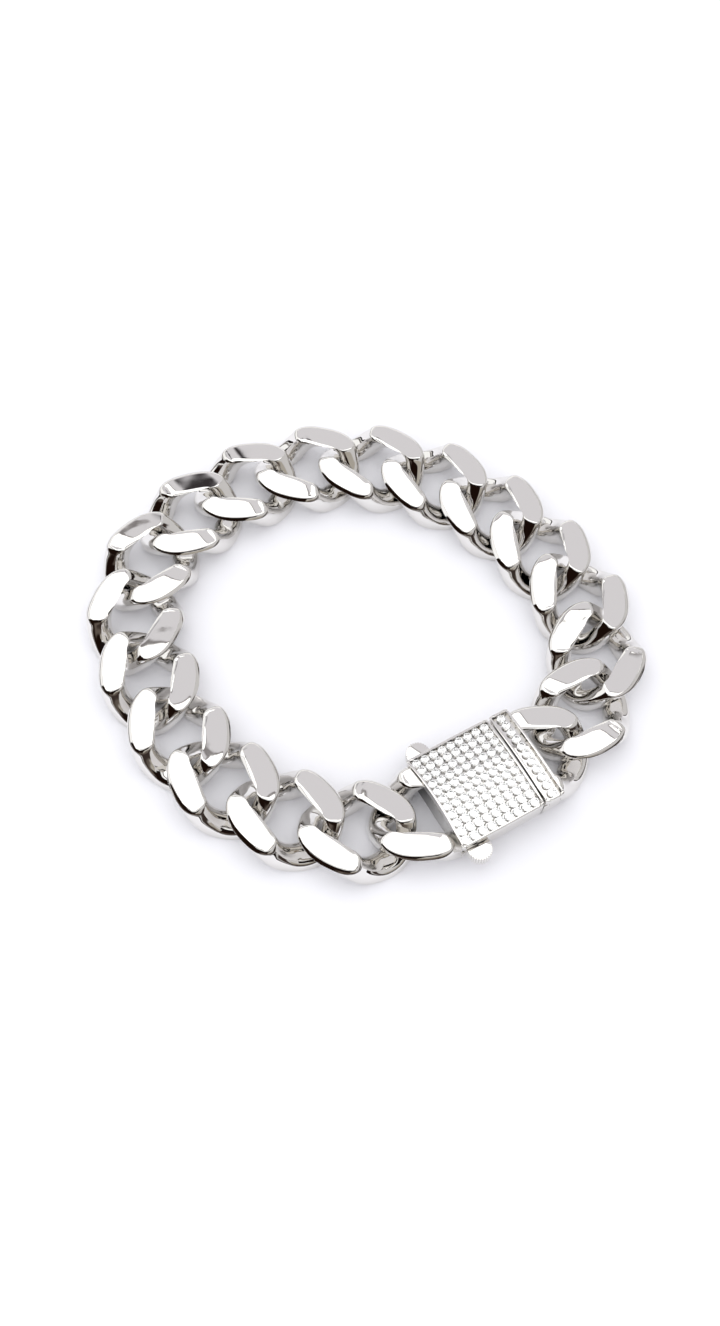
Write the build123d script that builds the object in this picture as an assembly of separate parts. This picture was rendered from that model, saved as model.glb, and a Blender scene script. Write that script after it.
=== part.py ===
from build123d import *
import math
import os

os.makedirs("parts", exist_ok=True)

# All sizes are in millimetres and degrees.
# Curb link: a ring of round wire, twisted about the line of the chain and planed on both faces
link_length = 16.5
link_width = 14.7
link_height = 4.9
end_wire = 2.8
side_wire = 3.4
lobe_wire = 4.0
link_play = 0.65
twist = 42.0
twist_ease = 2.0
outline_power = 2.6
facet_tilt = 5.0
whole_links = 17

# Places round a quarter of the ring, from the middle of a side to the end of the link
quarter_stations = [0, 9, 20, 32, 45, 58, 70, 80, 90]
# The wire along the link: share of the half length, and the wire's size there
wire_sizes = [(0.0, side_wire), (0.45, lobe_wire), (0.65, lobe_wire), (0.85, side_wire), (1.0, end_wire)]

# How the loose loop lies: the heading of the link at the clasp, and how far each next link turns
first_heading = 210.0
turns = [33, 19, 15, 23, 3, 22, 26, 27, 13, 18, 18, 19, 13, 14, 12, 27, 30, 28]

# Box of the clasp
box_length = 13.4
box_width = 15.3
box_height = 4.9
dome_rise = 0.75
link_to_box = 1.25
rim_height = 0.9
rim_overhang = 0.25
side_taper = 0.35
side_wall = 0.7
end_wall = 0.6
box_floor = 0.8
top_plate = 1.1
link_root = 0.5

# End piece with the tongue that slides into the box
end_piece_length = 3.05
end_piece_gap = 0.25
tongue_thickness = 1.4
tongue_clearance = 0.3

# Push buttons, one through each side of the box
button_radius = 1.75
button_thickness = 1.7
button_reach = 2.4
button_clearance = 0.1
flange_thickness = 0.8
flange_lip = 0.5
button_travel = 1.0
rib_count = 9
groove_radius = 0.16

# Round stones in rows
stone_diameter = 1.2
stone_gap = 0.12
stone_height = 0.75
stone_sides = 8
table_share = 0.58
girdle_low_share = 0.55
girdle_high_share = 0.62
culet_share = 0.15
field_margin = 0.35
field_depth = 0.3
seat_depth = 0.5
seat_clearance = 0.02
stone_lift = 0.05

# How far a cutter runs past the metal
cutter_excess = 1.0

# Sizes worked out from those above
pitch = link_length - 2 * end_wire - link_play
ring_length = link_length - end_wire
ring_width = link_width - side_wire
middle_height = link_height / 2
box_left = -link_to_box
box_right = box_left - box_length
end_piece_left = box_right - end_piece_gap
end_piece_right = end_piece_left - end_piece_length
clasp_span = -end_piece_right
roof_height = box_height - top_plate
wall_face = box_width / 2 - rim_overhang
inner_wall = wall_face - side_taper - side_wall
flange_front = inner_wall - button_clearance
flange_back = flange_front - flange_thickness
tongue_half_width = flange_back - button_travel - tongue_clearance
button_middle = box_left - end_wall - button_clearance - button_radius
button_top = roof_height - button_clearance
dome_radius = (box_width**2 / 4 + dome_rise**2) / (2 * dome_rise)
dome_centre = box_height + dome_rise - dome_radius


def block(x, y, z):
    """A box between two values along each axis."""
    size = [abs(high - low) for low, high in (x, y, z)]
    middle = [(low + high) / 2 for low, high in (x, y, z)]
    return Pos(*middle) * Box(*size)


def ring_point(angle):
    """Centre of the wire, by the angle round the ring from the middle of one side."""
    across, along = math.cos(math.radians(angle)), math.sin(math.radians(angle))
    x = ring_length / 2 * math.copysign(abs(along) ** (2 / outline_power), along)
    y = ring_width / 2 * math.copysign(abs(across) ** (2 / outline_power), across)
    eased = math.tanh(twist_ease * 2 * x / ring_length) / math.tanh(twist_ease)
    lean = math.radians(twist) * eased
    return Vector(x, y * math.cos(lean), y * math.sin(lean))


def wire_radius(x):
    """Radius of the wire at a distance along the link."""
    share = min(abs(x) * 2 / ring_length, 1.0)
    for (low, low_size), (high, high_size) in zip(wire_sizes, wire_sizes[1:]):
        if share <= high:
            return (low_size + (high_size - low_size) * (share - low) / (high - low)) / 2


def wire_section(angle):
    """Round section of the wire, square to the ring."""
    step = 0.5
    here = ring_point(angle)
    tangent = (ring_point(angle + step) - ring_point(angle - step)).normalized()
    sideways = tangent.cross(Vector(0, 0, 1)).normalized()
    return Plane(origin=here, x_dir=sideways, z_dir=tangent) * Circle(wire_radius(here.X))


def curb_link():
    """One link about its own middle: sloped facets above, flat ones below at height 0."""
    stations = quarter_stations + [180 - angle for angle in reversed(quarter_stations[:-1])]
    half = loft([wire_section(angle) for angle in stations], ruled=True)
    skin = [face for face in half.faces() if face.geom_type != GeomType.PLANE]
    ring = Solid(Shell(skin + [face.rotate(Axis.Z, 180) for face in skin]))
    slope = math.radians(facet_tilt)
    ridge = middle_height + ring_width / 3 * math.tan(slope)
    for side in (1, -1):
        normal = Vector(0, side * math.sin(slope), math.cos(slope))
        ring = ring.split(Plane(origin=(0, 0, ridge), z_dir=normal), keep=Keep.BOTTOM)
    ring = ring.split(Plane.XY.offset(-middle_height), keep=Keep.TOP)
    return Pos(0, 0, middle_height) * ring


def miss(turn_offset, bow_x, bow_y):
    """How far the last link is from its place on the clasp, along the clasp and across it."""
    start = math.radians(first_heading)
    x, y = lay_links(turn_offset, bow_x, bow_y)[1][-1]
    along = x * math.cos(start) + y * math.sin(start) + clasp_span
    across = y * math.cos(start) - x * math.sin(start)
    return along, across


def lay_links(turn_offset, bow_x, bow_y):
    """Heading and centre of each link, from the one at the clasp's left to the one at its right."""
    headings = [first_heading]
    centres = [(0.0, 0.0)]
    for number, turn in enumerate(turns):
        phase = 2 * math.pi * (number + 0.5) / len(turns)
        heading = headings[-1] - turn - turn_offset - bow_x * math.cos(phase) - bow_y * math.sin(phase)
        old, new = math.radians(headings[-1]), math.radians(heading)
        x, y = centres[-1]
        centres.append((x + pitch / 2 * (math.cos(old) + math.cos(new)),
                        y + pitch / 2 * (math.sin(old) + math.sin(new))))
        headings.append(heading)
    return headings, centres


def close_loop():
    """Spreads small changes over the turns until the last link meets the clasp."""
    turn_offset = (360 - sum(turns)) / len(turns)
    bow_x = bow_y = 0.0
    step = 0.01
    for _ in range(12):
        along, across = miss(turn_offset, bow_x, bow_y)
        along_x, across_x = [(new - old) / step for new, old in
                             zip(miss(turn_offset, bow_x + step, bow_y), (along, across))]
        along_y, across_y = [(new - old) / step for new, old in
                             zip(miss(turn_offset, bow_x, bow_y + step), (along, across))]
        scale = along_x * across_y - along_y * across_x
        bow_x -= (along * across_y - across * along_y) / scale
        bow_y -= (across * along_x - along * across_x) / scale
    return lay_links(turn_offset, bow_x, bow_y)


def clasp_section():
    """Outline across the clasp: domed top, rim, and sides that lean in to the foot."""
    half = box_width / 2
    top = ThreePointArc((-half, box_height), (0, box_height + dome_rise), (half, box_height))
    rim = box_height - rim_height
    right = [(half, box_height), (half, rim), (wall_face, rim), (wall_face - side_taper, 0)]
    left = [(-x, z) for x, z in reversed(right)]
    outline = top + Polyline(*right) + Polyline(right[-1], left[0]) + Polyline(*left)
    return Plane.YZ * make_face(outline)


def domed_block(left, right):
    """A length of the clasp's outer shape."""
    return Pos(right, 0, 0) * extrude(clasp_section(), left - right)


def dome_place(x, y):
    """Place on the floor of the stone field, square to the dome."""
    lean = math.asin(y / dome_radius)
    floor_radius = dome_radius - field_depth
    z = dome_centre + floor_radius * math.cos(lean)
    return Pos(x, floor_radius * math.sin(lean), z) * Rot(-math.degrees(lean), 0, 0)


def stone_field(left, right):
    """Recess for the stones, between two places along the clasp."""
    half = box_width / 2 - field_margin
    top = box_height + dome_rise + cutter_excess
    band = block((right + field_margin, left - field_margin), (-half, half), (roof_height, top))
    floor = Plane.YZ * Pos(0, dome_centre) * Circle(dome_radius - field_depth)
    return band - Pos(right, 0, 0) * extrude(floor, left - right)


def stone_places(left, right):
    """Even rows and columns of stones that fill the recess."""
    spacing = stone_diameter + stone_gap
    length = left - right - 2 * field_margin
    width = box_width - 2 * field_margin
    columns, rows = int(length / spacing), int(width / spacing)
    for column in range(columns):
        for row in range(rows):
            x = right + field_margin + length * (column + 0.5) / columns
            y = width * ((row + 0.5) / rows - 0.5)
            yield dome_place(x, y)


def cut_stone():
    """One stone with a table, eight crown facets, a girdle and eight pavilion facets."""
    radius = stone_diameter / 2
    levels = [(0, culet_share), (girdle_low_share, 1), (girdle_high_share, 1), (1, table_share)]
    sections = [Pos(0, 0, level * stone_height) * RegularPolygon(radius * share, stone_sides)
                for level, share in levels]
    stone = loft(sections, ruled=True)
    return Pos(0, 0, stone_lift - girdle_low_share * stone_height) * stone


def stone_seat():
    """Round seat under a stone."""
    return Pos(0, 0, -seat_depth / 2) * Cylinder(stone_diameter / 2 - seat_clearance, seat_depth)


def clasp_box(link):
    """Hollow box with its stone field, its two button slots and half a link on its left end."""
    box = domed_block(box_left, box_right)
    box -= block((box_right - cutter_excess, box_left - end_wall), (-inner_wall, inner_wall), (box_floor, roof_height))
    reach = button_radius + button_clearance
    box -= block((button_middle - reach, button_middle + reach), (-box_width / 2, box_width / 2),
                 (button_top - button_thickness - button_clearance, button_top + button_clearance))
    box -= stone_field(box_left, box_right)
    box -= [place * stone_seat() for place in stone_places(box_left, box_right)]
    root = link.split(Plane.YZ.offset(box_left - link_root), keep=Keep.TOP)
    return box + root


def end_piece(link):
    """End piece with its row of stones, its tongue, and half a link on its right end."""
    piece = domed_block(end_piece_left, end_piece_right)
    middle = (box_floor + roof_height) / 2
    tongue_tip = box_left - end_wall - tongue_clearance
    piece += block((end_piece_left - end_piece_length / 2, tongue_tip),
                   (-tongue_half_width, tongue_half_width),
                   (middle - tongue_thickness / 2, middle + tongue_thickness / 2))
    piece -= stone_field(end_piece_left, end_piece_right)
    piece -= [place * stone_seat() for place in stone_places(end_piece_left, end_piece_right)]
    root = Pos(end_piece_right, 0, 0) * link.split(Plane.YZ.offset(link_root), keep=Keep.BOTTOM)
    return piece + root


def push_button():
    """Tab with a round ribbed end, and a flange that keeps it in the box; side towards +Y."""
    bottom = button_top - button_thickness
    middle = (bottom + button_top) / 2
    round_middle = box_width / 2 + button_reach - button_radius
    tab = block((button_middle - button_radius, button_middle + button_radius),
                (flange_back, round_middle), (bottom, button_top))
    tab += Pos(button_middle, round_middle, middle) * Cylinder(button_radius, button_thickness)
    tab += block((button_middle - button_radius - flange_lip, button_middle + button_radius),
                 (flange_back, flange_front), (bottom - flange_lip, button_top))
    for number in range(rib_count + 1):
        angle = math.pi * number / rib_count
        x = button_middle + button_radius * math.cos(angle)
        y = round_middle + button_radius * math.sin(angle)
        tab -= Pos(x, y, middle) * Cylinder(groove_radius, button_thickness)
    return tab


link = curb_link()
headings, centres = close_loop()
clasp_place = Rot(0, 0, first_heading)
stone = cut_stone()
nodes = {}
for number in range(1, whole_links + 1):
    x, y = centres[number]
    nodes[f"link_{number:02d}"] = Pos(x, y, 0) * Rot(0, 0, headings[number]) * link
nodes["clasp_box"] = clasp_place * clasp_box(link)
nodes["clasp_end"] = clasp_place * end_piece(link)
nodes["push_button_near"] = clasp_place * push_button()
nodes["push_button_far"] = clasp_place * mirror(push_button(), about=Plane.XZ)
nodes["box_stones"] = Compound([clasp_place * place * stone for place in stone_places(box_left, box_right)])
nodes["end_stones"] = Compound([clasp_place * place * stone
                                for place in stone_places(end_piece_left, end_piece_right)])

# The origin is under the middle of the whole bracelet, on the surface that it lies on
extent = Compound(list(nodes.values())).bounding_box()
to_origin = Pos(-extent.center().X, -extent.center().Y, -extent.min.Z)
for name, shape in nodes.items():
    export_step(to_origin * shape, f"parts/{name}.step")
print("pitch", round(pitch, 3), "turns", [round(a - b, 1) for a, b in zip(headings, headings[1:])])
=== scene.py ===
import bpy
import math
from mathutils import Matrix, Vector


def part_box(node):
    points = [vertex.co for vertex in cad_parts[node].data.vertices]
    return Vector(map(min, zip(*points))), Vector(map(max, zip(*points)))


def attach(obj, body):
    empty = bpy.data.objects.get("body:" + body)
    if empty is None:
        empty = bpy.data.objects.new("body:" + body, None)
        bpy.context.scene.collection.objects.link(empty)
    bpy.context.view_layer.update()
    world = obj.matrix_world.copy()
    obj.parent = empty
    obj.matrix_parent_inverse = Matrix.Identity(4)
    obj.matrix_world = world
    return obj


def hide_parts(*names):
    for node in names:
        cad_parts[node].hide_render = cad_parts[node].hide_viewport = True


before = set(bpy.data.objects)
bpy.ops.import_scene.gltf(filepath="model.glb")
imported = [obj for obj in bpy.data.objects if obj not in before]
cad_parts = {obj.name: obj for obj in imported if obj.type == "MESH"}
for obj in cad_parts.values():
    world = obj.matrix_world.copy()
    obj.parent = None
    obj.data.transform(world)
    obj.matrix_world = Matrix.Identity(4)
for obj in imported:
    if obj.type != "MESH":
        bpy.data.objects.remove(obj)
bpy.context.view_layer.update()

# All sizes are in millimetres and degrees; a finished piece is brought to metres when it gets its place.

# Curb link: a ring of round wire, twisted about the line of the chain and planed above and below
whole_links = 17
link_length = 16.5
link_width = 14.35
link_height = 4.9
link_play = 0.65
twist = 42.0
twist_ease = 2.0
outline_power = 2.6
ring_steps = 160
wire_steps = 56

# Thickness of its wire, by the share of the way from the link's middle to its end
end_wire = 2.8
side_wire = 3.4
lobe_wire = 4.0
middle_wire = 3.6
wire_sizes = [(0.0, middle_wire), (0.45, lobe_wire), (0.65, lobe_wire), (0.85, side_wire), (1.0, end_wire)]
smoothing_shares = [-0.12, -0.08, -0.04, 0.0, 0.04, 0.08, 0.12]

# Fuller shoulders of the wire, outside and inside, beside the planed pads
lobe_power = 3.2
inner_fullness = 0.25
inner_fullness_power = 6

# Pads: the planes, the bevel at the outer edge, the roll at the inner edge and the buffed ends
facet_tilt = 5.0
planing_depth = 0.1
edge_rounding = 0.2
foot_rounding = 0.5
bevel_start = 1.6
bevel_slope = 0.9
bevel_rounding = 0.3
roll_start = -1.5
roll_radius = 1.5
pad_middle = 4.3
pad_reach = 4.8
pad_oval = 0.025
pad_flat = 2.1
pad_end_radius = 15.0

# How the loose loop lies
first_heading = 210.0
turns = [33, 19, 15, 23, 3, 22, 26, 27, 13, 18, 18, 19, 13, 14, 12, 27, 30, 28]
closing_rounds = 12

# Clasp
box_length = 13.4
box_width = 15.3
box_height = 4.9
dome_rise = 0.75
link_to_box = 1.25
link_root = 0.5
side_taper = 0.35
side_wall = 0.7
end_wall = 0.6
box_floor = 0.8
top_plate = 1.1
neck_height = 0.75
neck_inset = 0.35
slot_room = 0.35
case_edge = 0.1
cut_margin = 1.0

# Its top plate: a rim round a recess for the stones
rim_height = 0.9
rim_width = 0.35
rim_overhang = 0.25
edge_bow = 0.4
corner_radius = 0.65
recess_depth = 0.9
plate_edge = 0.07
plate_square = 0.6
plate_rows = 44

# Its sanded left end
sanded_depth = 0.05
sanded_root = 0.03
sanded_foot = 0.1
sanded_edge = 0.02

# Its end piece
end_piece_length = 3.05
end_piece_gap = 0.25
tongue_thickness = 1.4
tongue_clearance = 0.3

# Push buttons
button_radius = 1.75
button_thickness = 1.7
button_reach = 2.4
button_clearance = 0.1
button_travel = 1.0
button_edge = 0.07
flange_thickness = 0.8
flange_lip = 0.5
rib_count = 14
rib_depth = 0.2
rib_steps = 12

# Stones: heights from the middle of the girdle, widths as shares of the stone's own
stone_diameter = 1.32
girdle_height = 0.04
table_share = 0.57
crown_height = 0.22
kite_share = 0.8
kite_height = 0.135
tip_share = 0.45
tip_depth = 0.25
tip_middle = -0.455

# Their field: seats cut in squares of metal, with a bead at each corner of a square
field_margin = 0.35
field_depth = 0.3
bed_depth = 0.62
seat_radius = 0.5
seat_sides = 16
seat_depth = 0.3
seat_foot_share = 0.5
seam = 0.005
bead_radius = 0.13
bead_lift = 0.06
stone_lift = 0.08

# Two places closer than this count as one
tolerance = 0.01

# The photograph's viewpoint; its target and distance are in metres
camera_target = (-0.00071, -0.00553, 0.0049)
camera_distance = 0.2324
camera_elevation = 61.3
camera_lens = 43.6

# Sizes worked out from those above
pitch = link_length - 2 * end_wire - link_play
ring_length = link_length - end_wire
ring_width = link_width - side_wire
middle_height = link_height / 2
box_left = -link_to_box
box_right = box_left - box_length
end_piece_left = box_right - end_piece_gap
end_piece_right = end_piece_left - end_piece_length
clasp_span = -end_piece_right
roof_height = box_height - top_plate
wall_face = box_width / 2 - rim_overhang
inner_wall = wall_face - side_taper - side_wall
flange_front = inner_wall - button_clearance
flange_back = flange_front - flange_thickness
tongue_half_width = flange_back - button_travel - tongue_clearance
button_middle = box_left - end_wall - button_clearance - button_radius
button_top = roof_height - button_clearance
dome_radius = (box_width**2 / 4 + dome_rise**2) / (2 * dome_rise)
dome_centre = box_height + dome_rise - dome_radius


def colour(hex_value):
    """Turns an sRGB hex colour to the linear values that a shader takes."""
    parts = [int(hex_value[i:i + 2], 16) / 255 for i in (1, 3, 5)]
    return [p / 12.92 if p <= 0.04045 else ((p + 0.055) / 1.055) ** 2.4 for p in parts] + [1.0]


def add_node(tree, kind, settings=(), **links):
    """Adds a node. Each input goes by its name, or by i and its number, and takes a value or an output."""
    node = tree.nodes.new(kind)
    for name, value in dict(settings).items():
        setattr(node, name, value)
    for name, value in links.items():
        key = int(name[1:]) if name[0] == "i" and name[1:].isdigit() else name.replace("_", " ")
        if isinstance(value, bpy.types.NodeSocket):
            tree.links.new(value, node.inputs[key])
        else:
            node.inputs[key].default_value = value
    return node


def calculated(tree, operation, *values):
    """Result of one Math node."""
    inputs = {f"i{number}": value for number, value in enumerate(values)}
    return add_node(tree, "ShaderNodeMath", {"operation": operation}, **inputs).outputs[0]


def new_material(name):
    """A material, its nodes and its shader."""
    material = bpy.data.materials.new(name)
    material.use_nodes = True
    return material, material.node_tree, material.node_tree.nodes["Principled BSDF"]


def polished_white_metal():
    """Rhodium plate over buffed metal: a mirror with slow waves from the wheel and faint wipe marks."""
    material, tree, shader = new_material("polished rhodium plate")
    place = add_node(tree, "ShaderNodeTexCoord").outputs["Object"]
    waves = add_node(tree, "ShaderNodeTexNoise", Vector=place, Scale=190.0, Detail=1.0, Roughness=0.4)
    wipes = add_node(tree, "ShaderNodeTexNoise", Vector=place, Scale=900.0, Detail=3.0, Roughness=0.6)
    haze = add_node(tree, "ShaderNodeMapRange", Value=wipes.outputs["Fac"],
                    i1=0.35, i2=0.75, i3=0.015, i4=0.05)
    bump = add_node(tree, "ShaderNodeBump", Height=waves.outputs["Fac"], Strength=1.0, Distance=0.00008)
    shader.inputs["Base Color"].default_value = colour("#E8E6E3")
    shader.inputs["Metallic"].default_value = 1.0
    tree.links.new(haze.outputs["Result"], shader.inputs["Roughness"])
    tree.links.new(bump.outputs["Normal"], shader.inputs["Normal"])
    return material


def satin_metal_with_painted_shade():
    """Rhodium plate over a sanded wall: fine upright streaks, with painted shade darkening the far side and
    painted light brightening the near side.
    """
    material, tree, shader = new_material("sanded rhodium plate with painted shade")
    place = add_node(tree, "ShaderNodeTexCoord").outputs["Object"]
    # Places are in metres here: the painted shade changes over 9 mm about the wall's middle, from dark on
    # the far side to light on the near side
    across = clasp_place.to_3x3() @ Vector((0, 1, 0))
    middle = clasp_place.translation.dot(across) / 1000
    near = add_node(tree, "ShaderNodeVectorMath", {"operation": "DOT_PRODUCT"}, i0=place, i1=across)
    share = add_node(tree, "ShaderNodeMapRange", Value=near.outputs["Value"],
                     i1=middle - 0.005, i2=middle + 0.004)
    painted_shade_tone = add_node(tree, "ShaderNodeMix", {"data_type": "RGBA"}, i0=share.outputs["Result"],
                    i6=colour("#1C1C1E"), i7=colour("#F4F3F0"))
    upright = add_node(tree, "ShaderNodeMapping", Vector=place, Scale=(1.0, 1.0, 0.05))
    streaks = add_node(tree, "ShaderNodeTexNoise", Vector=upright.outputs["Vector"],
                       Scale=5000.0, Detail=2.0)
    bump = add_node(tree, "ShaderNodeBump", Height=streaks.outputs["Fac"], Strength=0.5, Distance=0.00001)
    tree.links.new(painted_shade_tone.outputs[2], shader.inputs["Base Color"])
    tree.links.new(bump.outputs["Normal"], shader.inputs["Normal"])
    shader.inputs["Metallic"].default_value = 1.0
    shader.inputs["Roughness"].default_value = 0.3
    return material


def cut_zirconia():
    """Cubic zirconia, polished flat facets: clear, with bright and dark flashes from its high index."""
    material, _, shader = new_material("cubic zirconia")
    shader.inputs["Base Color"].default_value = colour("#FFFFFF")
    shader.inputs["Roughness"].default_value = 0.0
    shader.inputs["IOR"].default_value = 2.15
    shader.inputs["Transmission Weight"].default_value = 1.0
    return material


def deselect():
    """Leaves nothing selected, the CAD nodes among them."""
    bpy.ops.object.select_all(action="DESELECT")


def settle(piece, name, place, material, slot, body, *nodes):
    """Brings a finished piece to metres and to its place, names it, gives it its material, hangs it on the
    body it rides on and hides the CAD nodes it replaces.
    """
    piece.name = piece.data.name = name
    piece.data.transform(Matrix.Scale(0.001, 4) @ place @ piece.matrix_world)
    piece.matrix_world = Matrix.Identity(4)
    piece.data.materials.clear()
    piece.data.materials.append(material)
    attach(piece, body)
    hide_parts(*nodes)
    deselect()


def ring_point(angle):
    """Centre of the wire, by the angle round the ring from the middle of one side."""
    across, along = math.cos(angle), math.sin(angle)
    reach = (abs(across)**outline_power + abs(along)**outline_power) ** (-1 / outline_power)
    x, y = ring_length / 2 * along * reach, ring_width / 2 * across * reach
    eased = math.tanh(twist_ease * 2 * x / ring_length) / math.tanh(twist_ease)
    lean = math.radians(twist) * eased
    return Vector((x, y * math.cos(lean), y * math.sin(lean)))


def wire_size(share):
    """Wire's size at a share of the link's half length."""
    share = min(abs(share), 1.0)
    for (low, low_size), (high, high_size) in zip(wire_sizes, wire_sizes[1:]):
        if share <= high:
            return low_size + (high_size - low_size) * (share - low) / (high - low)


def wire_radius(x):
    """Radius of the wire along the link, with the changes of size smoothed."""
    share = x * 2 / ring_length
    return sum(wire_size(share + step) for step in smoothing_shares) / len(smoothing_shares) / 2


def round_wire(radius, turn, power):
    """How far out and up a point of the wire's outline is. A power over 2 gives it fuller shoulders."""
    return [radius * math.copysign(abs(part) ** (2 / power), part)
            for part in (math.cos(turn), math.sin(turn))]


def planed(room, rounding):
    """Room left under a planing plane: unchanged well below it, none above it, rolled over between."""
    near = max(rounding - abs(room), 0)
    return max(room, 0) + near * near / (4 * rounding)


def curb_link():
    """One link about its own middle, standing at height 0."""
    bpy.ops.mesh.primitive_torus_add(major_segments=ring_steps, minor_segments=wire_steps,
                                     major_radius=1, minor_radius=0.5)
    link = bpy.context.object
    slope = math.tan(math.radians(facet_tilt))
    ridge = middle_height + ring_width / 3 * slope - planing_depth
    step = math.radians(0.5)
    up = Vector((0, 0, 1))
    for vertex in link.data.vertices:
        x, y, z = vertex.co
        angle, turn = math.atan2(x, y), math.atan2(z, math.hypot(x, y) - 1)
        middle = ring_point(angle)
        tangent = (ring_point(angle + step) - ring_point(angle - step)).normalized()
        outward = up.cross(tangent).normalized()
        upward = tangent.cross(outward)
        radius = wire_radius(middle.x)
        fullness = max(1 - ((abs(middle.x) - pad_middle) / pad_reach) ** 2, 0)
        out, rise = round_wire(radius, turn, 2 + (lobe_power - 2) * fullness if turn > 0 else 2)
        if out < 0 < turn:
            out *= 1 + inner_fullness * fullness ** inner_fullness_power * math.sin(turn)
        point = middle + out * outward + rise * upward
        oval = pad_oval * (abs(point.x) - pad_middle) ** 2
        buffed = max(roll_start + oval - out, 0) ** 2 / (2 * roll_radius)
        buffed += max(abs(abs(point.x) - pad_middle) - pad_flat, 0) ** 2 / (2 * pad_end_radius)
        top = ridge - abs(point.y) * slope - buffed
        bevel = top - (out - bevel_start + oval) * bevel_slope
        point.z = bevel - planed(bevel - point.z, bevel_rounding)
        point.z = top - planed(top - point.z, edge_rounding)
        point.z = planed(point.z + middle_height, foot_rounding)
        vertex.co = point
    bpy.ops.object.shade_smooth()
    return link


def copy_of(piece):
    """A copy with its own mesh."""
    twin = piece.copy()
    twin.data = piece.data.copy()
    bpy.context.scene.collection.objects.link(twin)
    return twin


def alone(piece):
    """Makes a piece the only one selected."""
    deselect()
    piece.select_set(True)
    bpy.context.view_layer.objects.active = piece


def with_none_selected(piece):
    """Makes a piece the only one selected, with none of its own parts selected."""
    alone(piece)
    for group in (piece.data.vertices, piece.data.edges, piece.data.polygons):
        for part in group:
            part.select = False


def work_on(piece, test, *steps):
    """Selects the faces that pass a test of middle and normal, and takes each edit-mode step on them."""
    with_none_selected(piece)
    bpy.context.tool_settings.mesh_select_mode = (False, False, True)
    for face in piece.data.polygons:
        face.select = test(face.center, face.normal)
    bpy.ops.object.mode_set(mode="EDIT")
    for step in steps:
        step()
    bpy.ops.object.mode_set(mode="OBJECT")


def push(height):
    """A step that extrudes what is selected upwards."""
    return lambda: bpy.ops.mesh.extrude_region_move(TRANSFORM_OT_translate={"value": (0, 0, height)})


def narrow(width):
    """A step that insets what is selected."""
    return lambda: bpy.ops.mesh.inset(thickness=width, use_even_offset=True)


def apply(piece, kind, **settings):
    """Adds a modifier with its settings and applies it."""
    alone(piece)
    modifier = piece.modifiers.new(kind.lower(), kind)
    for name, value in settings.items():
        setattr(modifier, name, value)
    bpy.ops.object.modifier_apply(modifier=modifier.name)


def combine(piece, operation, other):
    """Joins another solid to a piece or cuts it away, and removes the other."""
    apply(piece, "BOOLEAN", operation=operation, object=other, solver="EXACT")
    bpy.data.objects.remove(other)


def face_outwards(piece):
    """Turns all its faces to look outwards."""
    work_on(piece, lambda middle, normal: True,
            lambda: bpy.ops.mesh.normals_make_consistent(inside=False))


def soften(piece, width, angle=35):
    """Rounds the sharp edges and smooths the shading between them."""
    apply(piece, "BEVEL", width=width, segments=3, limit_method="ANGLE", angle_limit=math.radians(angle),
          harden_normals=False)
    bpy.ops.object.shade_smooth_by_angle(angle=math.radians(angle))


def block(x, y, z):
    """A box between two values along each axis, as a start."""
    bpy.ops.mesh.primitive_cube_add(size=1)
    piece = bpy.context.object
    sizes = [abs(high - low) for low, high in (x, y, z)]
    middle = [(low + high) / 2 for low, high in (x, y, z)]
    piece.data.transform(Matrix.Translation(middle) @ Matrix.Diagonal(sizes + [1]))
    return piece


def left_edge(y):
    """Left edge of the top plate, bowed a little inwards."""
    return box_left - edge_bow * (1 - (2 * y / box_width) ** 2)


def on_dome(left, right, share, y, lift):
    """A point over the plate: its share of the way from right to left, its place across and its lift."""
    edge = left_edge(y) if left == box_left else left
    lean = math.asin(y / dome_radius)
    radius = dome_radius + lift
    x = right + (edge - right) * share
    return Vector((x, radius * math.sin(lean), dome_centre + radius * math.cos(lean)))


def top_plate_piece(left, right):
    """Domed plate with a thin polished rim that overhangs the sides, and a recess for the stones."""
    bpy.ops.mesh.primitive_grid_add(x_subdivisions=max(2, round((left - right) / plate_square)),
                                    y_subdivisions=plate_rows, size=2)
    plate = bpy.context.object
    for vertex in plate.data.vertices:
        x, y, _ = vertex.co
        vertex.co = on_dome(left, right, (x + 1) / 2, y * box_width / 2, 0)
    under = box_height - rim_height
    work_on(plate, lambda middle, normal: True, push(-rim_height - dome_rise))
    for vertex in plate.data.vertices:
        if vertex.co.z < under + dome_rise / 2:
            vertex.co.z = under
    face_outwards(plate)
    round_corners(plate)
    work_on(plate, lambda middle, normal: normal.z > 0.8, narrow(rim_width), push(-recess_depth))
    soften(plate, plate_edge, 50)
    return plate


def round_corners(plate):
    """Rounds the four upright corners of the plate."""
    with_none_selected(plate)
    bpy.context.tool_settings.mesh_select_mode = (False, True, False)
    side = box_width / 2 - tolerance
    ends = [vertex.co.x for vertex in plate.data.vertices if abs(vertex.co.y) > side]
    for edge in plate.data.edges:
        top, foot = (plate.data.vertices[number].co for number in edge.vertices)
        upright = abs(top.z - foot.z) > rim_height / 2 and abs(top.y) > side
        at_end = min(abs(top.x - max(ends)), abs(top.x - min(ends))) < tolerance
        edge.select = upright and at_end
    bpy.ops.object.mode_set(mode="EDIT")
    bpy.ops.mesh.bevel(offset=corner_radius, segments=4)
    bpy.ops.object.mode_set(mode="OBJECT")


def stone_rows(left, right):
    """Counts and spacings of the stones along the clasp and across it."""
    length, width = left - right - 2 * field_margin, box_width - 2 * field_margin
    columns, rows = int(length / stone_diameter), int(width / stone_diameter)
    return columns, rows, length / columns, width / rows


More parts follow.
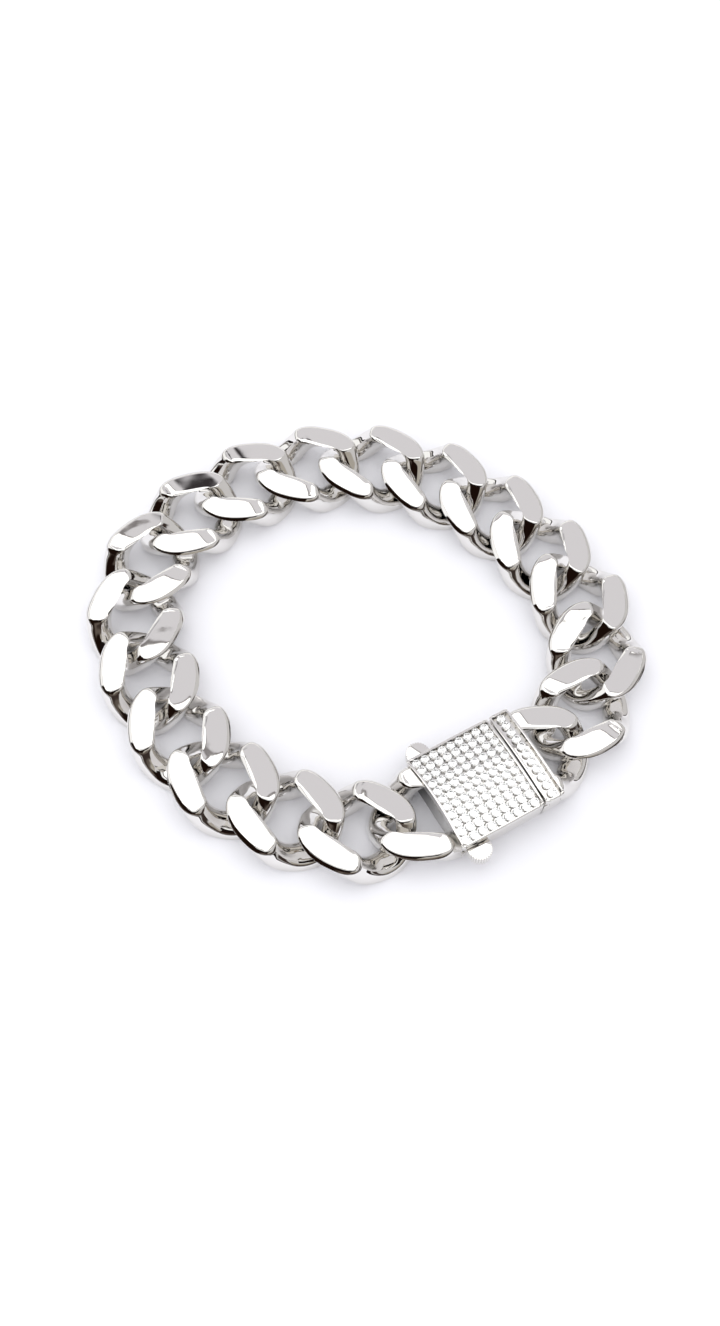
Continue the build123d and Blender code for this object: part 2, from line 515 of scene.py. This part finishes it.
def stone_bed(left, right):
    """Metal between the stones: a square with a round seat, repeated over the field, bent to the dome."""
    columns, rows, along, across = stone_rows(left, right)
    bpy.ops.mesh.primitive_circle_add(vertices=seat_sides, radius=seat_radius, fill_type="NGON")
    bed = bpy.context.object
    alone(bed)
    bpy.ops.object.mode_set(mode="EDIT")
    bpy.context.tool_settings.mesh_select_mode = (False, True, False)
    bpy.ops.mesh.select_all(action="SELECT")
    bpy.ops.mesh.extrude_edges_indiv()
    bpy.ops.object.mode_set(mode="OBJECT")
    for vertex in bed.data.vertices:
        if vertex.select:
            x, y, _ = vertex.co
            reach = max(abs(x), abs(y))
            vertex.co = (x / reach * along / 2, y / reach * across / 2, 0)
    work_on(bed, lambda middle, normal: middle.length < tolerance, push(-seat_depth),
            lambda: bpy.ops.transform.resize(value=(seat_foot_share, seat_foot_share, 1)))
    for count, way in ((columns, (along, 0, 0)), (rows, (0, across, 0))):
        apply(bed, "ARRAY", count=count, use_relative_offset=False, use_constant_offset=True,
              constant_offset_displace=way, use_merge_vertices=True, merge_threshold=seam)
    for vertex in bed.data.vertices:
        x, y, z = vertex.co
        share = (field_margin + x + along / 2) / (left - right)
        vertex.co = on_dome(left, right, share, y - across * (rows - 1) / 2, z - bed_depth)
    face_outwards(bed)
    bpy.ops.object.shade_smooth_by_angle(angle=math.radians(30))
    return bed


def cut_stone():
    """One round brilliant: table, star, kite and girdle facets above, and two rows of facets below."""
    radius = stone_diameter / 2
    half_facet = math.pi / 8
    bpy.ops.mesh.primitive_cylinder_add(vertices=16, radius=radius, depth=girdle_height)
    stone = bpy.context.object
    bpy.ops.object.mode_set(mode="EDIT")
    for share, height, turn in ((table_share, crown_height, 0), (kite_share, kite_height, half_facet)):
        bpy.ops.mesh.primitive_circle_add(vertices=8, radius=share * radius, location=(0, 0, height),
                                          rotation=(0, 0, turn))
    bpy.ops.mesh.primitive_cone_add(vertices=8, radius1=0, radius2=tip_share * radius, depth=tip_depth,
                                    location=(0, 0, tip_middle), rotation=(0, 0, half_facet))
    bpy.ops.mesh.select_all(action="SELECT")
    bpy.ops.mesh.convex_hull()
    bpy.ops.mesh.normals_make_consistent(inside=False)
    bpy.ops.object.mode_set(mode="OBJECT")
    bpy.ops.object.shade_flat()
    return stone


def bead():
    """Small bead of metal pushed over the edges of the stones round it."""
    bpy.ops.mesh.primitive_uv_sphere_add(segments=8, ring_count=5, radius=bead_radius)
    bpy.ops.object.shade_smooth()
    return bpy.context.object


def sow(pattern, left, right, corners, lift):
    """Copies of a stone in the squares of a field, or of a bead at their corners, joined to one piece."""
    columns, rows, along, across = stone_rows(left, right)
    copies = []
    extra = 1 if corners else 0
    for column in range(columns + extra):
        for row in range(rows + extra):
            x = field_margin + along * (column + 0.5 - 0.5 * extra)
            y = across * (row + 0.5 - 0.5 * extra - rows / 2)
            point = on_dome(left, right, x / (left - right), y, lift)
            lean = Matrix.Rotation(-math.asin(y / dome_radius), 4, "X")
            copies.append(copy_of(pattern))
            copies[-1].data.transform(Matrix.Translation(point) @ lean)
    deselect()
    for piece in copies:
        piece.select_set(True)
    bpy.context.view_layer.objects.active = copies[0]
    bpy.ops.object.join()
    return copies[0]


def case_body(left, right):
    """Body of a half of the clasp: sides that lean in to the foot, a narrower neck under the rim."""
    top = box_height - rim_height
    left = left - edge_bow if left == box_left else left
    body = block((right, left), (-wall_face, wall_face), (0, top - neck_height))
    for vertex in body.data.vertices:
        if vertex.co.z < top / 2:
            vertex.co.y = math.copysign(wall_face - side_taper, vertex.co.y)
    neck = block((right, left), (neck_inset - wall_face, wall_face - neck_inset), (top / 2, top))
    combine(body, "UNION", neck)
    return body


def box_case():
    """Hollow case under the plate, open towards the tongue, with the slots for the buttons."""
    case = case_body(box_left, box_right)
    hollow = block((box_right - cut_margin, box_left - end_wall - button_clearance / 2),
                   (-inner_wall, inner_wall), (box_floor, roof_height))
    combine(case, "DIFFERENCE", hollow)
    reach = button_radius + button_clearance
    for side in (-1, 1):
        slot = block((button_middle - reach, button_middle + reach + slot_room),
                     (side * (inner_wall - button_clearance), side * box_width),
                     (button_top - button_thickness - button_clearance, button_top + button_clearance))
        combine(case, "DIFFERENCE", slot)
    soften(case, case_edge)
    return case


def box_end_wall():
    """Sanded face of the box's left end, seen between the bars of the half link."""
    reach = wall_face - side_taper
    edge = box_left - edge_bow
    face = block((edge - sanded_depth, edge + sanded_root), (-reach, reach),
                 (sanded_foot, box_height - rim_height))
    soften(face, sanded_edge)
    return face


def end_case():
    """Solid block of the end piece with its tongue, which reaches into the box."""
    case = case_body(end_piece_left, end_piece_right)
    middle = (box_floor + roof_height) / 2
    tongue = block((end_piece_left - end_piece_length / 2, box_left - end_wall - tongue_clearance),
                   (-tongue_half_width, tongue_half_width),
                   (middle - tongue_thickness / 2, middle + tongue_thickness / 2))
    combine(case, "UNION", tongue)
    soften(case, case_edge)
    return case


def button_piece(side):
    """Push button: a tab whose round end is ribbed, on a flange inside the box."""
    bpy.ops.mesh.primitive_cylinder_add(vertices=rib_count * rib_steps, radius=button_radius,
                                        depth=button_thickness)
    button = bpy.context.object
    round_middle = box_width / 2 + button_reach - button_radius
    for vertex in button.data.vertices:
        x, y, _ = vertex.co
        angle = math.atan2(y, x)
        if y > 0:
            reach = button_radius - rib_depth * (1 - abs(math.sin(rib_count * angle))) ** 2
            vertex.co.x, vertex.co.y = reach * math.cos(angle), reach * math.sin(angle)
        else:
            # The half without ribs is drawn out to a straight tab that ends at the flange
            vertex.co.x = math.copysign(button_radius, x) if abs(x) > tolerance else x
            vertex.co.y = 0 if abs(angle) in (0, math.pi) else flange_back - round_middle
    bottom = button_top - button_thickness
    button.data.transform(Matrix.Translation((button_middle, round_middle, (bottom + button_top) / 2)))
    flange = block((button_middle - button_radius - flange_lip, button_middle + button_radius),
                   (flange_back, flange_front), (bottom - flange_lip, button_top))
    combine(button, "UNION", flange)
    if side < 0:
        button.data.transform(Matrix.Diagonal((1, -1, 1, 1)))
        button.data.flip_normals()
    soften(button, button_edge)
    return button


def lay_links(turn_offset, bow_x, bow_y):
    """Heading and centre of each link, from the one at the clasp's left to the one at its right."""
    headings = [first_heading]
    centres = [(0.0, 0.0)]
    for number, turn in enumerate(turns):
        phase = 2 * math.pi * (number + 0.5) / len(turns)
        heading = headings[-1] - turn - turn_offset - bow_x * math.cos(phase) - bow_y * math.sin(phase)
        old, new = math.radians(headings[-1]), math.radians(heading)
        x, y = centres[-1]
        centres.append((x + pitch / 2 * (math.cos(old) + math.cos(new)),
                        y + pitch / 2 * (math.sin(old) + math.sin(new))))
        headings.append(heading)
    return headings, centres


def miss(turn_offset, bow_x, bow_y):
    """How far the last link is from its place on the clasp, along the clasp and across it."""
    start = math.radians(first_heading)
    x, y = lay_links(turn_offset, bow_x, bow_y)[1][-1]
    along = x * math.cos(start) + y * math.sin(start) + clasp_span
    across = y * math.cos(start) - x * math.sin(start)
    return along, across


def close_loop():
    """Spreads small changes over the turns until the last link meets the clasp."""
    turn_offset = (360 - sum(turns)) / len(turns)
    bow_x = bow_y = 0.0
    step = 0.01
    for _ in range(closing_rounds):
        along, across = miss(turn_offset, bow_x, bow_y)
        along_x, across_x = [(new - old) / step for new, old in
                             zip(miss(turn_offset, bow_x + step, bow_y), (along, across))]
        along_y, across_y = [(new - old) / step for new, old in
                             zip(miss(turn_offset, bow_x, bow_y + step), (along, across))]
        scale = along_x * across_y - along_y * across_x
        bow_x -= (along * across_y - across * along_y) / scale
        bow_y -= (across * along_x - along * across_x) / scale
    return lay_links(turn_offset, bow_x, bow_y)


def half_link(link, cut, keep_high):
    """The part of a link on one side of a cut across it, closed at the cut."""
    half = copy_of(link)
    alone(half)
    bpy.ops.object.mode_set(mode="EDIT")
    bpy.ops.mesh.select_all(action="SELECT")
    bpy.ops.mesh.bisect(plane_co=(cut, 0, 0), plane_no=(1, 0, 0), use_fill=True,
                        clear_inner=keep_high, clear_outer=not keep_high)
    bpy.ops.object.mode_set(mode="OBJECT")
    return half


def lit(hex_value, strength):
    """A colour made brighter than paint can be."""
    return [part * strength for part in colour(hex_value)[:3]] + [1.0]


def panel(tree, behind, light, *limits):
    """Adds a panel before what is behind it. Each limit is a direction, its two ends and their softness."""
    masks = []
    for way, low, high, soft in limits:
        away = calculated(tree, "ABSOLUTE", calculated(tree, "SUBTRACT", way, (low + high) / 2))
        half = (high - low) / 2
        masks.append(add_node(tree, "ShaderNodeMapRange", {"interpolation_type": "SMOOTHSTEP"}, i0=away,
                              i1=half - soft, i2=half + soft, i3=1.0, i4=0.0).outputs[0])
    inside = masks[0]
    for mask in masks[1:]:
        inside = calculated(tree, "MULTIPLY", inside, mask)
    return add_node(tree, "ShaderNodeMix", {"data_type": "RGBA"},
                    i0=inside, i6=behind, i7=light).outputs[2]


def glow(tree, light, strength):
    """What one kind of ray sees of the room."""
    return add_node(tree, "ShaderNodeBackground", Color=light, Strength=strength).outputs["Background"]


def light_tent():
    """White light tent with a bright framed panel above and behind, as each kind of ray sees it."""
    world = bpy.data.worlds.new("light tent")
    bpy.context.scene.world = world
    world.use_nodes = True
    tree = world.node_tree
    tree.nodes.clear()
    way = add_node(tree, "ShaderNodeTexCoord").outputs["Generated"]
    x, y, height = add_node(tree, "ShaderNodeSeparateXYZ", Vector=way).outputs
    side, depth = [calculated(tree, "DIVIDE", part, height) for part in (x, y)]
    slant = calculated(tree, "MULTIPLY_ADD", side, 0.5, depth)
    front = calculated(tree, "SUBTRACT", x, y)
    above = (height, 0.02, 2.0, 0.01)
    low = (height, 0.14, 1.2, 0.01)
    panels = [
        # The tent is dimmer to the right, greyest low in front
        (colour("#D6D4D4"), (x, 0.3, 2.0, 0.25)),
        (colour("#B4AEA4"), (side, 0.2, 1.8, 0.05), (depth, -3.2, -0.9, 0.05), above),
        # The dark room in front and to the left, with a step in its edge and a lighter part low in front
        (colour("#1C100B"), (side, -9.0, 0.25, 0.03), (depth, -9.0, -0.22, 0.03), low),
        (colour("#1C100B"), (side, -9.0, -0.3, 0.03), (depth, -9.0, 0.12, 0.03), low),
        (colour("#635952"), (x, -0.4, 0.5, 0.1), (y, -2.0, 0.0, 0.1), (height, 0.14, 0.48, 0.06)),
        # The bright panel in its dark frame, and the dark gap in front of it
        (colour("#4A4442"), (side, -0.57, 0.57, 0.01), (depth, -0.02, 1.44, 0.01), above),
        (lit("#FFFFFF", 1.7), (side, -0.5, 0.5, 0.01), (depth, 0.06, 1.36, 0.01), above),
        (colour("#1C1412"), (side, -0.5, 0.5, 0.02), (depth, -0.75, -0.22, 0.02), above),
        # A card with a slanting, darker edge on the panel, and a small dark patch
        (colour("#8E8A8A"), (side, -0.5, 0.46, 0.01), (depth, 0.0, 1.32, 0.01),
         (slant, 0.583, 9.0, 0.004), above),
        (colour("#E6E4E8"), (side, -0.5, 0.44, 0.02), (depth, 0.0, 1.3, 0.02),
         (slant, 0.601, 9.0, 0.004), above),
        (colour("#3A3638"), (side, -0.3, -0.21, 0.03), (depth, 0.78, 0.98, 0.04), above),
        # Low things at the front right and at the left, and the table's dark edge all round
        (colour("#3C322E"), (height, 0.14, 0.34, 0.04), (front, 0.75, 2.0, 0.1)),
        (colour("#5A504A"), (height, 0.12, 0.22, 0.03), (x, -1.0, -0.6, 0.1)),
        (colour("#1E1412"), (height, -2.0, 0.09, 0.015)),
    ]
    in_metal = lit("#FFFFFF", 1.15)
    for light, *limits in panels:
        in_metal = panel(tree, in_metal, light, *limits)
    # Patches that stand for what metal mirrors of other links, and stones of their own facets
    patches = add_node(tree, "ShaderNodeTexNoise", Vector=way, Scale=1.5, Detail=0.0).outputs["Fac"]
    in_links = panel(tree, colour("#F4F2F0"), colour("#120A08"), (patches, 0.38, 0.49, 0.008))
    in_links = panel(tree, in_links, colour("#9C8F7E"), (patches, 0.54, 0.58, 0.008))
    in_stones = panel(tree, lit("#FFFFFF", 1.7), colour("#6A6C70"), (patches, 0.46, 0.495, 0.01))
    on_paper = glow(tree, colour("#FDFDFF"), 1.3)
    ray = add_node(tree, "ShaderNodeLightPath").outputs
    mirrored_again = calculated(tree, "GREATER_THAN", ray["Glossy Depth"], 1.5)
    room = glow(tree, in_metal, 1.0)
    for share, seen in ((mirrored_again, glow(tree, in_links, 1.0)),
                        (ray["Is Diffuse Ray"], on_paper),
                        (ray["Is Transmission Ray"], glow(tree, in_stones, 1.0)),
                        (ray["Is Camera Ray"], on_paper)):
        room = add_node(tree, "ShaderNodeMixShader", i0=share, i1=room, i2=seen).outputs["Shader"]
    add_node(tree, "ShaderNodeOutputWorld", Surface=room)


def floor_and_light():
    """White paper under the bracelet, inside the light tent."""
    bpy.ops.mesh.primitive_plane_add(size=6, location=(0, 0, 0))
    floor = bpy.context.object
    floor.name = "floor"
    material, _, shader = new_material("white sweep paper")
    shader.inputs["Base Color"].default_value = colour("#F8F8FC")
    shader.inputs["Roughness"].default_value = 0.9
    shader.inputs["Specular IOR Level"].default_value = 0.0
    floor.data.materials.append(material)
    light_tent()
    bpy.context.scene.view_settings.view_transform = "Standard"


def camera():
    """The photograph's viewpoint, high in front of the bracelet."""
    eye = bpy.data.objects.new("camera", bpy.data.cameras.new("camera"))
    bpy.context.scene.collection.objects.link(eye)
    elevation = math.radians(camera_elevation)
    back = Vector((0, -math.cos(elevation), math.sin(elevation)))
    eye.location = Vector(camera_target) + back * camera_distance
    eye.rotation_euler = (math.radians(90 - camera_elevation), 0, 0)
    eye.data.lens = camera_lens
    eye.data.clip_start = 0.01
    bpy.context.scene.camera = eye


deselect()
headings, centres = close_loop()
low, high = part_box("link_01")
origin = (low + high) / 2 * 1000 - Vector(centres[1] + (0,))
origin.z = 0
clasp_place = Matrix.Translation(origin) @ Matrix.Rotation(math.radians(first_heading), 4, "Z")

metal = polished_white_metal()
# Sanded metal whose colour carries painted shade, dark far side and light near side
satin_with_painted_shade = satin_metal_with_painted_shade()
stone_glass = cut_zirconia()

# Material, slot and body of most pieces
metal_work = (metal, "polished_metal", "bracelet")

link = curb_link()
for number in range(1, whole_links + 1):
    place = (Matrix.Translation(origin + Vector(centres[number] + (0,)))
             @ Matrix.Rotation(math.radians(headings[number]), 4, "Z"))
    settle(copy_of(link), f"curb_link_{number:02d}", place, *metal_work, f"link_{number:02d}")
end_place = clasp_place @ Matrix.Translation((end_piece_right, 0, 0))
settle(half_link(link, box_left - link_root, True), "box_half_link", clasp_place, *metal_work, "clasp_box")
settle(half_link(link, link_root, False), "end_half_link", end_place, *metal_work, "clasp_end")
bpy.data.objects.remove(link)

sides = {"box": (box_left, box_right, "clasp_box", "box_stones"),
         "end": (end_piece_left, end_piece_right, "clasp_end", "end_stones")}
stone, drop = cut_stone(), bead()
for name, (left, right, node, stones_node) in sides.items():
    settle(top_plate_piece(left, right), f"{name}_plate", clasp_place, *metal_work, node)
    settle(stone_bed(left, right), f"{name}_stone_bed", clasp_place, *metal_work, node)
    beads = sow(drop, left, right, True, bead_lift - field_depth)
    settle(beads, f"{name}_beads", clasp_place, *metal_work, node)
    brilliants = sow(stone, left, right, False, stone_lift - field_depth)
    settle(brilliants, f"{name}_brilliants", clasp_place, stone_glass, "stones", "bracelet", stones_node)
bpy.data.objects.remove(stone)
bpy.data.objects.remove(drop)
settle(box_case(), "box_case", clasp_place, *metal_work, "clasp_box")
# The end face's colour is painted shade: dark on the far side, painted light on the near side
settle(box_end_wall(), "box_end_wall", clasp_place, satin_with_painted_shade, "polished_metal", "bracelet", "clasp_box")
settle(end_case(), "end_case", clasp_place, *metal_work, "clasp_end")
for side, name in ((1, "near"), (-1, "far")):
    settle(button_piece(side), f"{name}_button_tab", clasp_place, metal,
           "polished_metal", f"{name}_button", f"push_button_{name}")

floor_and_light()
camera()
